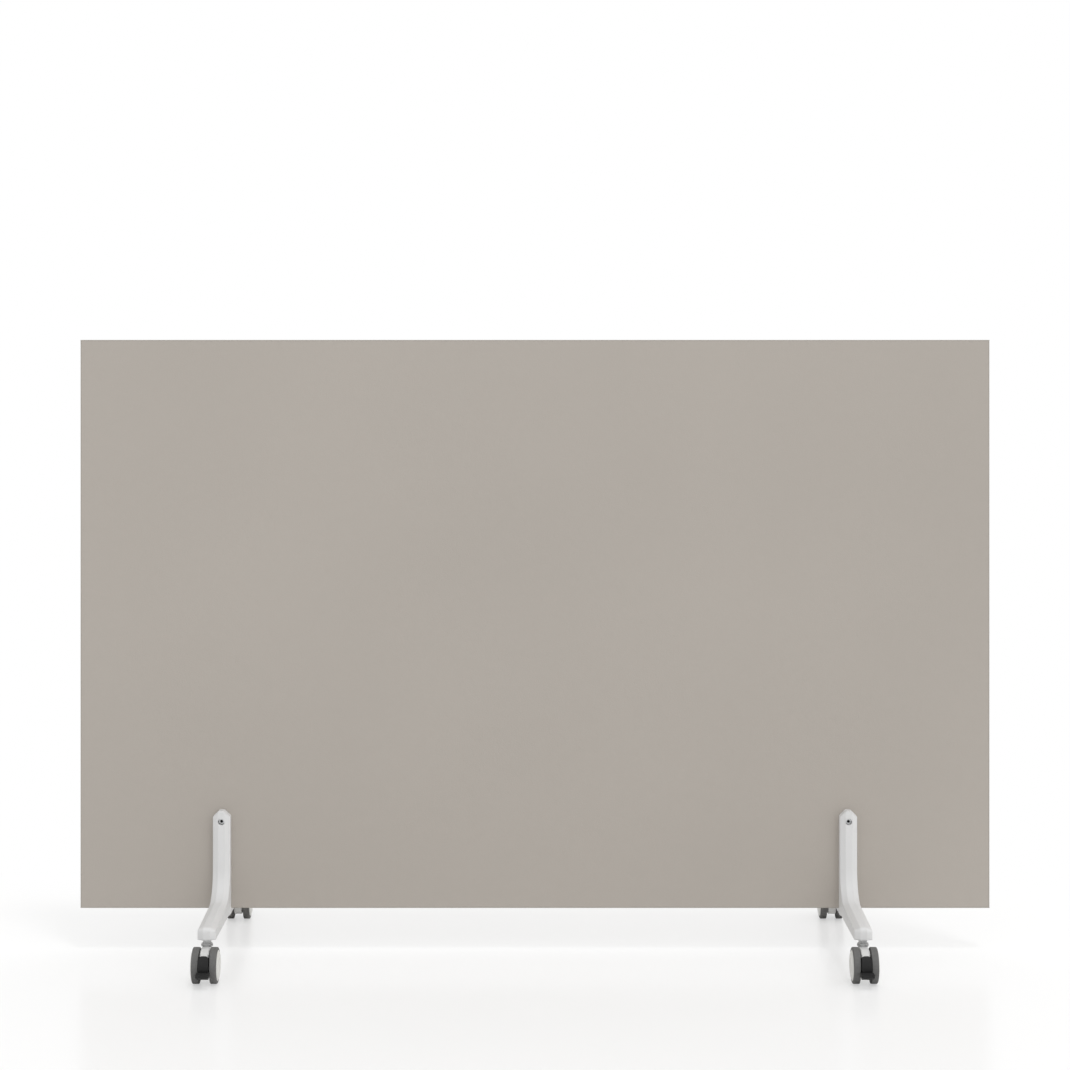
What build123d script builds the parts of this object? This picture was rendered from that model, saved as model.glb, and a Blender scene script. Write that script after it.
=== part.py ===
from build123d import *
import math
import os

# Room divider: a faced board standing on two feet, each on two braked twin-wheel casters.
# Millimetres. +X runs along the board, +Y to the rear and +Z up.
# The origin is on the floor, under the middle of the board.

# Board
board_width = 1600.0
board_height = 1000.0
board_thickness = 25.0
laminate_thickness = 0.8
edge_band_thickness = 2.0
edge_band_round = 1.0

# Feet: cast legs, one in front of the board and one behind it
foot_inset = 250.0
leg_width = 30.5
leg_wall = 3.5
leg_bevel_width = 9.5
leg_bevel_depth = 5.5
leg_edge_round = 1.5
leg_corner_round = 4.0
upright_depth = 20.0
upright_height = 174.0
upright_bevel = 10.75
bend_radius = 50.0
arm_reach = 208.0
arm_root_height = 30.5
arm_tip_height = 20.5
arm_tip_round = 8.0
tip_overhang = 13.5
heel_drop = 3.5
lap_thickness = 4.5
lap_gap = 0.2

# Coring of the legs
core_round = 3.0
rib_thickness = 2.5
arm_rib_count = 3
upright_rib_count = 2
upright_core_base = 14.0
screw_boss_radius = 10.0
stem_boss_radius = 10.5
stem_seat_radius = 7.2
stem_seat_height = 3.3

# Clamping screw and sleeve nut at the top of each foot
clamp_drop = 19.0
clamp_thread_radius = 3.0
clamp_length = 34.0
clamp_head_radius = 5.0
clamp_head_height = 6.0
sleeve_radius = 4.0
sleeve_length = 28.0
sleeve_bore_depth = 25.0
counterbore_depth = 13.0
counterbore_clearance = 0.5
clamp_socket_flats = 5.0
clamp_socket_depth = 3.5
bolt_clearance = 0.3
thread_clearance = 0.05

# Countersunk screws through the lap under the board
lap_screw_spacing = 14.0
lap_screw_radius = 2.5
lap_screw_length = 8.5
lap_head_radius = 4.6
lap_socket_flats = 3.0
lap_socket_depth = 2.0

# Caster: wheels
wheel_radius = 30.0
wheel_gap = 18.5
tyre_width = 11.75
tyre_thickness = 5.5
tyre_outer_round = 2.2
tyre_inner_round = 1.2
cover_seat_depth = 2.8
cover_radius = 25.2
cover_rise = 2.0
cover_bevel = 4.5
cover_dish_radius = 12.5
cover_dish_depth = 0.7
cover_wall = 1.6
cover_clearance = 0.1
cover_skirt_depth = 2.5
rim_setback = 0.6
rim_wall = 2.6
hub_web = 2.6
hub_boss_radius = 6.5
hub_boss_setback = 2.25
axle_radius = 3.0
axle_head_radius = 4.6
axle_head_height = 1.2
axle_end_play = 0.2
running_clearance = 0.05

# Caster: yoke and stem
caster_trail = 22.0
yoke_width = 15.5
yoke_radius = 27.6
yoke_hood_round = 12.0
yoke_bottom_gap = 12.5
yoke_corner_round = 4.0
yoke_rim = 3.0
yoke_web = 6.0
yoke_bevel = 1.4
yoke_boss_radius = 6.5
nose_width = 12.0
nose_start = 6.0
barrel_radius = 7.75
barrel_depth = 24.0
barrel_bevel = 2.5
swivel_clearance = 0.3
king_pin_radius = 4.0
king_pin_length = 18.0
king_head_radius = 4.8
king_head_height = 3.0
stem_radius = 5.0
stem_length = 15.0
flange_radius = 9.9
flange_height = 2.2
hex_flats = 16.5
hex_height = 2.8
hex_bevel = 0.6
washer_radius = 7.0
washer_height = 3.3

# Caster: brake lever
lever_width = 16.5
lever_plate = 2.5
lever_proud = 3.5
lever_top = 50.8
lever_bottom = 13.0
lever_corner_round = 5.8
cheek_depth = 23.0
cheek_clearance = 0.3
pin_radius = 1.5
pin_out = 16.0
pin_up = 11.0
pin_recess = 0.2
cheek_eye_radius = 5.0
lever_skirt_width = 14.0
toe_width = 22.3
toe_foot_width = 16.5
toe_reach = 20.0
toe_top = 25.6
toe_fall = 1.0
toe_edge = 3.2
toe_hollow = 1.5
toe_corner_round = 3.0
toe_groove_count = 4
toe_groove_pitch = 3.0
toe_groove_radius = 0.6
tongue_width = 10.0
tongue_thickness = 2.0
tongue_length = 6.5
tongue_drop = 3.8
pad_clearance = 0.15
brake_angle = 10.0

# A cut runs this far past the face that it opens
overrun = 1.0

# Heights from the floor, stacked from the wheels up
axle_height = wheel_radius
yoke_top = axle_height + yoke_radius
flange_bottom = yoke_top + swivel_clearance
hex_bottom = flange_bottom + flange_height
washer_bottom = hex_bottom + hex_height
seat_bottom = washer_bottom + washer_height
arm_bottom = seat_bottom + stem_seat_height
lap_bottom = arm_bottom - heel_drop
lap_level = lap_bottom + lap_thickness
ledge_top = lap_level + lap_thickness
board_bottom = ledge_top
board_middle = board_bottom + board_height / 2
upright_top = ledge_top + upright_height
clamp_height = upright_top - clamp_drop

# Distances from the board's middle plane and from its middle
board_face = board_thickness / 2
upright_face = board_face + upright_depth
stem_offset = board_face + arm_reach
arm_end = stem_offset + tip_overhang
heel_end = upright_face + heel_drop
clamp_seat = upright_face - counterbore_depth
foot_offset = board_width / 2 - foot_inset
yoke_half = yoke_width / 2
wheel_inner = wheel_gap / 2
wheel_outer = wheel_inner + tyre_width
rim_end = wheel_outer - cover_seat_depth
hub_boss_end = wheel_outer - hub_boss_setback
plate_outer = wheel_radius + lever_proud
plate_inner = plate_outer - lever_plate
pin_place = caster_trail + pin_out
pin_height = axle_height + pin_up


def upright_cylinder(radius, height):
    """A cylinder standing on z = 0."""
    return Cylinder(radius, height, align=(Align.CENTER, Align.CENTER, Align.MIN))


def cross_cylinder(radius, length):
    """A cylinder along Y, from y = 0."""
    return Rot(-90, 0, 0) * upright_cylinder(radius, length)


def axial_cylinder(radius, length):
    """A cylinder along X, centred on x = 0."""
    return Rot(0, 90, 0) * Cylinder(radius, length)


def hexagon(flats):
    """A hexagon that measures the given size across its flats."""
    return RegularPolygon(flats / 2, 6, major_radius=False)


def side_extrude(face, width):
    """Extrudes a side view, drawn in Y and Z, evenly to both sides of x = 0."""
    return extrude(Plane.YZ * face, width / 2, both=True)


def side_box(y_low, y_high, z_low, z_high, width):
    """A block centred on x = 0, between two places in Y and two in Z."""
    block = Box(width, y_high - y_low, z_high - z_low)
    return Pos(0, (y_low + y_high) / 2, (z_low + z_high) / 2) * block


# Board


def clamp_hole_cutters(radius):
    """The holes through the board for the two sleeve nuts."""
    hole = Pos(0, -board_face - overrun, clamp_height) * cross_cylinder(
        radius, board_thickness + 2 * overrun
    )
    return [Pos(side * foot_offset, 0, 0) * hole for side in (-1, 1)]


def board_layer(thickness, middle):
    """One layer of the board, with its clamping holes."""
    width = board_width - 2 * edge_band_thickness
    height = board_height - 2 * edge_band_thickness
    layer = Pos(0, middle, board_middle) * Box(width, thickness, height)
    return layer - clamp_hole_cutters(sleeve_radius + bolt_clearance)


def edge_band(length):
    """An edge band along X, on z = 0, with its two outer edges rounded."""
    band = Box(length, board_thickness, edge_band_thickness, align=(Align.CENTER, Align.CENTER, Align.MIN))
    outer_edges = band.faces().sort_by(Axis.Z)[-1].edges().filter_by(Axis.X)
    return fillet(outer_edges, edge_band_round)


def long_edge_bands():
    """The bands along the board's top and bottom."""
    band = edge_band(board_width)
    top = Pos(0, 0, board_bottom + board_height - edge_band_thickness) * band
    bottom = Pos(0, 0, board_bottom + edge_band_thickness) * Rot(180, 0, 0) * band
    return [top, bottom]


def short_edge_bands():
    """The bands up the board's two ends, between the long ones."""
    band = edge_band(board_height - 2 * edge_band_thickness)
    inset = board_width / 2 - edge_band_thickness
    return [Pos(side * inset, 0, board_middle) * Rot(0, side * 90, 0) * band for side in (-1, 1)]


# Legs


def leg_side_view(has_lower_tongue):
    """Side view of a leg whose arm points along +Y, with its bend and its tip rounded."""
    tongue_end = lap_gap - board_face
    outer = [
        (board_face, upright_top),
        (upright_face, upright_top),
        (upright_face, arm_bottom + arm_root_height),
        (arm_end, arm_bottom + arm_tip_height),
        (arm_end, arm_bottom),
        (heel_end, arm_bottom),
        (upright_face, lap_bottom),
    ]
    if has_lower_tongue:
        lap = [(tongue_end, lap_bottom), (tongue_end, lap_level), (board_face, lap_level)]
    else:
        lap = [
            (board_face, lap_bottom),
            (board_face, lap_level),
            (tongue_end, lap_level),
            (tongue_end, ledge_top),
            (board_face, ledge_top),
        ]
    outline = make_face(Polyline(lap + outer, close=True))
    bend = outline.vertices().sort_by_distance((upright_face, arm_bottom + arm_root_height, 0))[0]
    outline = fillet(bend, bend_radius)
    tip = outline.vertices().sort_by_distance((arm_end, arm_bottom + arm_tip_height, 0))[0]
    return fillet(tip, arm_tip_round)


def leg_front_view():
    """Front view of a leg: a straight bar with a bevelled top."""
    half = leg_width / 2
    shoulder = upright_top - upright_bevel
    outline = make_face(
        Polyline(
            (-half, lap_bottom),
            (half, lap_bottom),
            (half, shoulder),
            (half - upright_bevel, upright_top),
            (upright_bevel - half, upright_top),
            (-half, shoulder),
            close=True,
        )
    )
    corners = [corner for corner in outline.vertices() if corner.Y > arm_bottom + arm_root_height]
    return fillet(corners, leg_corner_round)


def is_outer_face(face):
    """Whether a face is one of those that run down the upright, round the bend and along to the tip."""
    middle = face.center()
    return (
        face.normal_at(middle).X ** 2 < 0.9
        and middle.Y > upright_face - leg_bevel_depth
        and middle.Z > arm_bottom + overrun
    )


def bevel_sides(body, faces_to_bevel, width, depth):
    """Bevels the edges between some faces and both flanks, by a width on the face and a depth below it."""
    for end in (0, -1):
        flank = body.faces().sort_by(Axis.X)[end]
        outer = [edge for face in faces_to_bevel(body) for edge in face.edges()]
        shared = [edge for edge in flank.edges() if any(edge.is_same(other) for other in outer)]
        body = chamfer(shared, depth, width, reference=flank)
    return body


def outer_faces(body):
    """The faces that run down the front of a leg."""
    return [face for face in body.faces() if is_outer_face(face)]


def round_outer_edges(leg):
    """Rounds the edge that runs up both sides of a leg, from under its tip to over its top."""
    edges = [edge for face in outer_faces(leg) for edge in face.edges()]
    rim = [edge for edge in edges if sum(edge.is_same(other) for other in edges) == 1]
    return fillet([edge for edge in rim if edge.center().Z > arm_bottom + overrun], leg_edge_round)


def bevel_core(core, axis):
    """Bevels a cavity's outermost face along both sides, so that the wall keeps its thickness."""
    slant = math.hypot(leg_bevel_width, leg_bevel_depth)
    width = leg_bevel_width - leg_wall + leg_wall * (slant - leg_bevel_width) / leg_bevel_depth
    depth = leg_bevel_depth - leg_wall + leg_wall * (slant - leg_bevel_depth) / leg_bevel_width
    return bevel_sides(core, lambda body: [body.faces().sort_by(axis)[-1]], width, depth)


def arm_core():
    """The cavity under the arm, cut into cells by ribs."""
    start = heel_end
    end = stem_offset - stem_boss_radius
    slope = (arm_root_height - arm_tip_height) / (arm_end - upright_face)
    start_top = arm_bottom + arm_root_height - leg_wall
    end_top = start_top - slope * (end - start)
    outline = make_face(
        Polyline(
            (start, arm_bottom - overrun),
            (start, start_top),
            (end, end_top),
            (end, arm_bottom - overrun),
            close=True,
        )
    )
    core = bevel_core(side_extrude(outline, leg_width - 2 * leg_wall), Axis.Z)
    pitch = (end - start + rib_thickness) / (arm_rib_count + 1)
    for number in range(1, arm_rib_count + 1):
        rib = start + number * pitch - rib_thickness
        core -= side_box(rib, rib + rib_thickness, arm_bottom - 2 * overrun, upright_top, leg_width)
    return fillet(core.edges().filter_by(Axis.Z), core_round)


def upright_core():
    """The cavity in the upright's back, cut into cells by ribs."""
    start = ledge_top + upright_core_base
    end = clamp_height - screw_boss_radius
    core = side_box(board_face - overrun, upright_face - leg_wall, start, end, leg_width - 2 * leg_wall)
    core = bevel_core(core, Axis.Y)
    pitch = (end - start + rib_thickness) / (upright_rib_count + 1)
    for number in range(1, upright_rib_count + 1):
        rib = start + number * pitch - rib_thickness
        core -= side_box(0, arm_end, rib, rib + rib_thickness, leg_width)
    return fillet(core.edges().filter_by(Axis.Y), core_round)


def leg(has_lower_tongue):
    """A cast leg about x = 0 with its arm along +Y, bored for its screws and its caster."""
    body = side_extrude(leg_side_view(has_lower_tongue), leg_width)
    body = bevel_sides(body, outer_faces, leg_bevel_width, leg_bevel_depth)
    body &= extrude(Plane.XZ * leg_front_view(), arm_end + board_thickness, both=True)
    body = round_outer_edges(body)
    body -= arm_core()
    body -= upright_core()
    body += Pos(0, stem_offset, seat_bottom) * upright_cylinder(stem_seat_radius, 2 * stem_seat_height)
    body -= Pos(0, stem_offset, seat_bottom - overrun) * upright_cylinder(
        stem_radius + thread_clearance, stem_length + 2 * overrun
    )
    body -= Pos(0, clamp_seat, clamp_height) * cross_cylinder(
        clamp_head_radius + counterbore_clearance, counterbore_depth + overrun
    )
    shank_radius = clamp_thread_radius if has_lower_tongue else sleeve_radius
    body -= Pos(0, 0, clamp_height) * cross_cylinder(shank_radius + bolt_clearance, upright_face)
    return body - lap_screw_cutters(has_lower_tongue)


def lap_screw_cutters(has_lower_tongue):
    """The countersunk holes of the lower tongue, or the threaded holes of the upper one."""
    clearance = bolt_clearance if has_lower_tongue else thread_clearance
    cutter = Pos(0, 0, lap_bottom - overrun) * upright_cylinder(
        lap_screw_radius + clearance, lap_screw_length + 2 * overrun
    )
    if has_lower_tongue:
        cutter += Pos(0, 0, lap_bottom) * lap_screw_head()
    return [Pos(side * lap_screw_spacing / 2, 0, 0) * cutter for side in (-1, 1)]


# Fasteners


def lap_screw_head():
    """A countersunk head, wide end down, on z = 0."""
    height = lap_head_radius - lap_screw_radius
    return Cone(lap_head_radius, lap_screw_radius, height, align=(Align.CENTER, Align.CENTER, Align.MIN))


def lap_screw():
    """A countersunk screw pointing up, with its head's face on z = 0."""
    screw = upright_cylinder(lap_screw_radius, lap_screw_length) + lap_screw_head()
    return screw - extrude(hexagon(lap_socket_flats), lap_socket_depth)


def lap_screws():
    """The four screws that hold the halves of the feet together."""
    places = [(foot, side) for foot in (-1, 1) for side in (-1, 1)]
    return [
        Pos(foot * foot_offset + side * lap_screw_spacing / 2, 0, lap_bottom) * lap_screw()
        for foot, side in places
    ]


def socket_head():
    """A round head along +Y with its seat on y = 0 and a hexagon socket in its face."""
    head = cross_cylinder(clamp_head_radius, clamp_head_height)
    socket = extrude(Plane.XZ * hexagon(clamp_socket_flats), -clamp_socket_depth)
    return head - Pos(0, clamp_head_height - clamp_socket_depth, 0) * socket


def clamp_screws():
    """The two screws that clamp the uprights to the board, entered from the front."""
    screw = socket_head() + Pos(0, -clamp_length, 0) * cross_cylinder(clamp_thread_radius, clamp_length)
    turned = Pos(0, -clamp_seat, clamp_height) * Rot(0, 0, 180) * screw
    return [Pos(side * foot_offset, 0, 0) * turned for side in (-1, 1)]


def sleeve_nuts():
    """The two sleeve nuts that take the clamping screws, entered from the rear."""
    nut = socket_head() + Pos(0, -sleeve_length, 0) * cross_cylinder(sleeve_radius, sleeve_length)
    nut -= Pos(0, -sleeve_length - overrun, 0) * cross_cylinder(
        clamp_thread_radius + thread_clearance, sleeve_bore_depth + overrun
    )
    placed = Pos(0, clamp_seat, clamp_height) * nut
    return [Pos(side * foot_offset, 0, 0) * placed for side in (-1, 1)]


# Caster, built about its own stem axis at x = y = 0, trailing along +Y


def stem():
    """The threaded stem with its collar, a hexagon on a round flange, and the king pin below it."""
    collar = extrude(hexagon(hex_flats), hex_height)
    collar = chamfer(collar.faces().sort_by(Axis.Z)[-1].edges(), hex_bevel)
    body = Pos(0, 0, hex_bottom) * collar
    body += Pos(0, 0, flange_bottom) * upright_cylinder(flange_radius, flange_height)
    body += Pos(0, 0, washer_bottom) * upright_cylinder(washer_radius, washer_height)
    body += Pos(0, 0, seat_bottom) * upright_cylinder(stem_radius, stem_length)
    body += Pos(0, 0, flange_bottom - king_pin_length) * upright_cylinder(king_pin_radius, king_pin_length)
    head_bottom = flange_bottom - king_pin_length - king_head_height
    return body + Pos(0, 0, head_bottom) * upright_cylinder(king_head_radius, king_head_height)


def king_pin_bore():
    """The bore that the king pin runs in, wider at its foot for the pin's head."""
    clearance = running_clearance
    pin_foot = flange_bottom - king_pin_length
    bore = Pos(0, 0, pin_foot) * upright_cylinder(king_pin_radius + clearance, king_pin_length)
    chamber_height = king_head_height + 2 * swivel_clearance
    chamber = Pos(0, 0, pin_foot - king_head_height - swivel_clearance) * upright_cylinder(
        king_head_radius + swivel_clearance, chamber_height
    )
    return bore + chamber


def yoke_side_view():
    """Side view of the yoke: a disc about the axle, with a hood under the collar and a flat foot."""
    disc = Pos(caster_trail, axle_height) * Circle(yoke_radius)
    cut_height = yoke_bottom_gap + yoke_radius
    disc -= Pos(caster_trail, yoke_bottom_gap - cut_height / 2) * Rectangle(3 * yoke_radius, cut_height)
    disc = fillet(disc.vertices(), yoke_corner_round)
    middle = (caster_trail - yoke_radius / 2, axle_height + yoke_radius / 2)
    hood = Pos(*middle) * Rectangle(yoke_radius, yoke_radius)
    back = hood.vertices().sort_by_distance((caster_trail - yoke_radius, yoke_top, 0))[0]
    return disc + fillet(back, yoke_hood_round)


def yoke_side_pocket():
    """Side view of the hollow between the yoke's rim, its axle boss, its nose and its barrel."""
    hollow = offset(yoke_side_view(), -yoke_rim)
    hollow -= Pos(caster_trail, axle_height) * Circle(yoke_boss_radius)
    size = 4 * yoke_radius
    hollow -= Pos(caster_trail + nose_start + size / 2, axle_height) * Rectangle(size, size)
    hollow -= Pos(barrel_radius - size / 2, axle_height) * Rectangle(size, size)
    return hollow


def nose_side_view():
    """Side view of the space beside the yoke's nose, under its hood, that the cheeks turn in."""
    back = caster_trail + nose_start
    front = caster_trail + 2 * yoke_radius
    hood_bottom = pin_height + cheek_eye_radius + cheek_clearance
    return make_face(
        Polyline(
            (back, -overrun),
            (back, hood_bottom),
            (pin_place, hood_bottom),
            (pin_place, yoke_top),
            (front, yoke_top),
            (front, -overrun),
            close=True,
        )
    )


def both_sides(face, inner_width, outer_width):
    """Two slabs with the same side view, one on each side of x = 0."""
    return side_extrude(face, outer_width) - side_extrude(face, inner_width)


def pin_cylinder(radius, length):
    """A cylinder on the axis of the lever's pin."""
    return Pos(0, pin_place, pin_height) * axial_cylinder(radius, length)


def yoke():
    """The yoke: web, rim, hood and nose, and the barrel that turns on the king pin."""
    body = side_extrude(yoke_side_view(), yoke_width)
    rim_edges = [edge for edge in body.edges() if abs(edge.center().X) > yoke_half - yoke_bevel]
    body = chamfer(rim_edges, yoke_bevel)
    barrel = Pos(0, 0, yoke_top - barrel_depth) * upright_cylinder(barrel_radius, barrel_depth)
    foot_edge = barrel.edges().filter_by(GeomType.CIRCLE).sort_by(Axis.Z)[0]
    body += chamfer(foot_edge, barrel_bevel)
    body -= both_sides(yoke_side_pocket(), yoke_web, 2 * yoke_width)
    body -= both_sides(nose_side_view(), nose_width, 2 * yoke_width)
    body -= king_pin_bore()
    body -= Pos(0, caster_trail, axle_height) * axial_cylinder(axle_radius, 2 * yoke_width)
    return body - pin_cylinder(pin_radius, 2 * yoke_width)


def lever_pin():
    """The pin through the yoke's nose, ending just inside the lever's cheeks."""
    return pin_cylinder(pin_radius, lever_width - 2 * pin_recess)


def axle():
    """The axle, riveted over outside both hubs."""
    head_inner = hub_boss_end + axle_end_play
    body = axial_cylinder(axle_radius, 2 * head_inner)
    for side in (-1, 1):
        middle = side * (head_inner + axle_head_height / 2)
        body += Pos(middle, 0, 0) * axial_cylinder(axle_head_radius, axle_head_height)
    return Pos(0, caster_trail, axle_height) * body


# Wheels, built about the X axis, on its positive side


def wheel_outline(points):
    """Half of a wheel piece's section, from points of (radius, distance along the axle)."""
    return make_face(Polyline([(along, radius) for radius, along in points], close=True))


def tyre():
    """A tyre with rounded shoulders, stepped inside for the hub cover."""
    bore = wheel_radius - tyre_thickness
    seat_radius = cover_radius + cover_clearance
    outline = wheel_outline(
        [
            (bore, wheel_inner),
            (wheel_radius, wheel_inner),
            (wheel_radius, wheel_outer),
            (seat_radius, wheel_outer),
            (seat_radius, rim_end),
            (bore, rim_end),
        ]
    )
    inner_shoulder, outer_shoulder = outline.vertices().sort_by(Axis.Y)[-2:].sort_by(Axis.X)
    outline = fillet(outer_shoulder, tyre_outer_round)
    inner_shoulder = outline.vertices().sort_by_distance((wheel_inner, wheel_radius, 0))[0]
    return revolve(fillet(inner_shoulder, tyre_inner_round), Axis.X)


def hub():
    """A hub: rim, web and bored boss."""
    bore = axle_radius + running_clearance
    boss_start = yoke_half + swivel_clearance
    rim_outer = wheel_radius - tyre_thickness
    rim_inner = rim_outer - rim_wall
    rim_start = wheel_inner + rim_setback
    web_start = (rim_start + rim_end - hub_web) / 2
    web_end = web_start + hub_web
    outline = wheel_outline(
        [
            (bore, boss_start),
            (hub_boss_radius, boss_start),
            (hub_boss_radius, web_start),
            (rim_inner, web_start),
            (rim_inner, rim_start),
            (rim_outer, rim_start),
            (rim_outer, rim_end),
            (rim_inner, rim_end),
            (rim_inner, web_end),
            (hub_boss_radius, web_end),
            (hub_boss_radius, hub_boss_end),
            (bore, hub_boss_end),
        ]
    )
    return revolve(outline, Axis.X)


def hub_cover():
    """A pressed-in cover: bevelled face, turned edge and a skirt inside the hub's rim."""
    face = wheel_outer + cover_rise
    flat_radius = cover_radius - cover_bevel
    skirt_outer = wheel_radius - tyre_thickness - rim_wall
    skirt_inner = skirt_outer - cover_wall
    skirt_end = rim_end - cover_skirt_depth
    outline = wheel_outline(
        [
            (0, face - cover_dish_depth),
            (cover_dish_radius - cover_dish_depth, face - cover_dish_depth),
            (cover_dish_radius, face),
            (flat_radius, face),
            (cover_radius, wheel_outer),
            (cover_radius, rim_end),
            (skirt_outer, rim_end),
            (skirt_outer, skirt_end),
            (skirt_inner, skirt_end),
            (skirt_inner, wheel_outer - cover_wall),
            (flat_radius - cover_wall, face - cover_wall),
            (cover_dish_radius, face - cover_wall),
            (cover_dish_radius - cover_dish_depth, face - cover_dish_depth - cover_wall),
            (0, face - cover_dish_depth - cover_wall),
        ]
    )
    return revolve(outline, Axis.X)


# Brake lever


def axle_disc(radius, back, low, high):
    """Side view of a disc about the axle, kept beyond a place in Y and between two heights."""
    disc = Pos(caster_trail, axle_height) * Circle(radius)
    window = Pos(back + radius, (low + high) / 2) * Rectangle(2 * radius, high - low)
    return disc & window


def lever_channel():
    """The lever's plate, curved about the wheel, with a cheek on each side of the yoke's nose."""
    back = caster_trail + plate_outer - cheek_depth
    cheek_low = lever_bottom + lever_corner_round
    side = axle_disc(plate_outer, caster_trail, lever_bottom, lever_top)
    side -= Pos(caster_trail, axle_height) * Circle(plate_inner)
    side += axle_disc(plate_outer, back, cheek_low, pin_height)
    side += axle_disc(plate_outer, pin_place, cheek_low, pin_height + cheek_eye_radius)
    side += Pos(pin_place, pin_height) * Circle(cheek_eye_radius)
    slot = Pos(caster_trail, axle_height) * Circle(plate_inner)
    body = side_extrude(side, lever_width) & lever_front_block()
    return body - side_extrude(slot, nose_width + 2 * cheek_clearance)


def lever_front_block():
    """The lever's front view as a block: round shoulders, and a taper below the toe."""
    half = lever_width / 2
    low_half = lever_skirt_width / 2
    outline = make_face(
        Polyline(
            (-low_half, lever_bottom),
            (low_half, lever_bottom),
            (half, toe_top),
            (half, lever_top),
            (-half, lever_top),
            (-half, toe_top),
            close=True,
        )
    )
    shoulders = outline.vertices().sort_by(Axis.Y)[-2:]
    return extrude(Plane.XZ * fillet(shoulders, lever_corner_round), -2 * (caster_trail + plate_outer))


def toe_side_view():
    """Side view of the toe: a flat step, hollowed below, from the lever's plate to its lip."""
    plate_middle = (plate_outer + plate_inner) / 2
    root = caster_trail + math.sqrt(plate_middle**2 - (axle_height - toe_top) ** 2)
    foot = caster_trail + math.sqrt(plate_middle**2 - (axle_height - lever_bottom) ** 2)
    tip = caster_trail + wheel_radius + toe_reach
    edge_top = toe_top - toe_fall
    edge_bottom = edge_top - toe_edge
    return make_face(
        [
            Line((root, toe_top), (tip, edge_top)),
            Line((tip, edge_top), (tip, edge_bottom)),
            SagittaArc((tip, edge_bottom), (foot, lever_bottom), toe_hollow),
            Line((foot, lever_bottom), (root, toe_top)),
        ]
    )


def braking_space():
    """The space behind the plane that meets both treads, level with the toe, once the lever is locked."""
    turn = math.radians(brake_angle)
    out, up = caster_trail - pin_place, axle_height - pin_height
    locked_axle = (
        pin_place + out * math.cos(turn) - up * math.sin(turn),
        pin_height + out * math.sin(turn) + up * math.cos(turn),
    )
    reach = wheel_radius + pad_clearance
    level = toe_top - toe_fall - toe_edge
    dip = math.degrees(math.asin((locked_axle[1] - level) / reach))
    size = 4 * wheel_radius
    block = Pos(0, reach - size / 2, 0) * Box(size, size, size)
    return Pos(0, *locked_axle) * Rot(-dip, 0, 0) * block


def toe_front_block():
    """The toe's front view as a block: straight sides down its lip, and a taper below it."""
    half = toe_width / 2
    low_half = toe_foot_width / 2
    lip_bottom = toe_top - toe_fall - toe_edge
    outline = make_face(
        Polyline(
            (-low_half, lever_bottom - overrun),
            (low_half, lever_bottom - overrun),
            (half, lip_bottom),
            (half, toe_top + overrun),
            (-half, toe_top + overrun),
            (-half, lip_bottom),
            close=True,
        )
    )
    return extrude(Plane.XZ * outline, -2 * (caster_trail + plate_outer))


def toe_tongue(clearance):
    """The blade of the lever that the toe pad is moulded over, or with a clearance its slot."""
    middle = toe_top - tongue_drop
    start = caster_trail + plate_inner
    half = tongue_thickness / 2 + clearance
    end = caster_trail + plate_outer + tongue_length + clearance
    return side_box(start, end, middle - half, middle + half, tongue_width + 2 * clearance)


def toe_pad():
    """The pad that the foot presses, whose back comes down on both treads when it is locked."""
    pad = side_extrude(toe_side_view(), toe_width) - braking_space()
    tip = caster_trail + wheel_radius + toe_reach
    corners = [edge for edge in pad.edges().filter_by(Axis.Z) if edge.center().Y > tip - overrun]
    pad = fillet(corners, toe_corner_round) & toe_front_block()
    for number in range(toe_groove_count):
        place = tip - toe_corner_round - number * toe_groove_pitch
        slope = toe_fall / (toe_reach - lever_proud)
        height = toe_top - toe_fall + slope * (tip - place)
        pad -= Pos(0, place, height) * axial_cylinder(toe_groove_radius, 2 * toe_width)
    return pad - toe_tongue(running_clearance)


def brake_lever():
    """The brake lever, released: a channel over the yoke's nose, with a root and a tongue for its toe."""
    pad_space = side_extrude(toe_side_view(), 2 * toe_width) - braking_space()
    body = lever_channel() + side_extrude(toe_side_view(), lever_skirt_width) - pad_space
    body += toe_tongue(0)
    return body - pin_cylinder(pin_radius + running_clearance, 2 * lever_width)


# The whole divider


def write(name, solids):
    """Writes one sub-part, a solid or a list of separate ones, to its own file."""
    shape = Compound(children=list(solids)) if isinstance(solids, list) else solids
    export_step(shape, f"parts/{name}.step")


def write_board():
    """The board's layers and bands."""
    core_thickness = board_thickness - 2 * laminate_thickness
    skin_middle = (board_thickness - laminate_thickness) / 2
    write("panel_core", board_layer(core_thickness, 0))
    write("front_laminate", board_layer(laminate_thickness, -skin_middle))
    write("rear_laminate", board_layer(laminate_thickness, skin_middle))
    write("long_edge_bands", long_edge_bands())
    write("short_edge_bands", short_edge_bands())


def write_feet():
    """The four cast legs and their fasteners."""
    front_leg = Rot(0, 0, 180) * leg(True)
    rear_leg = leg(False)
    for side_name, side in (("left", -1), ("right", 1)):
        write(f"front_{side_name}_leg", Pos(side * foot_offset, 0, 0) * front_leg)
        write(f"rear_{side_name}_leg", Pos(side * foot_offset, 0, 0) * rear_leg)
    write("clamp_screws", clamp_screws())
    write("sleeve_nuts", sleeve_nuts())
    write("lap_screws", lap_screws())


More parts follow.
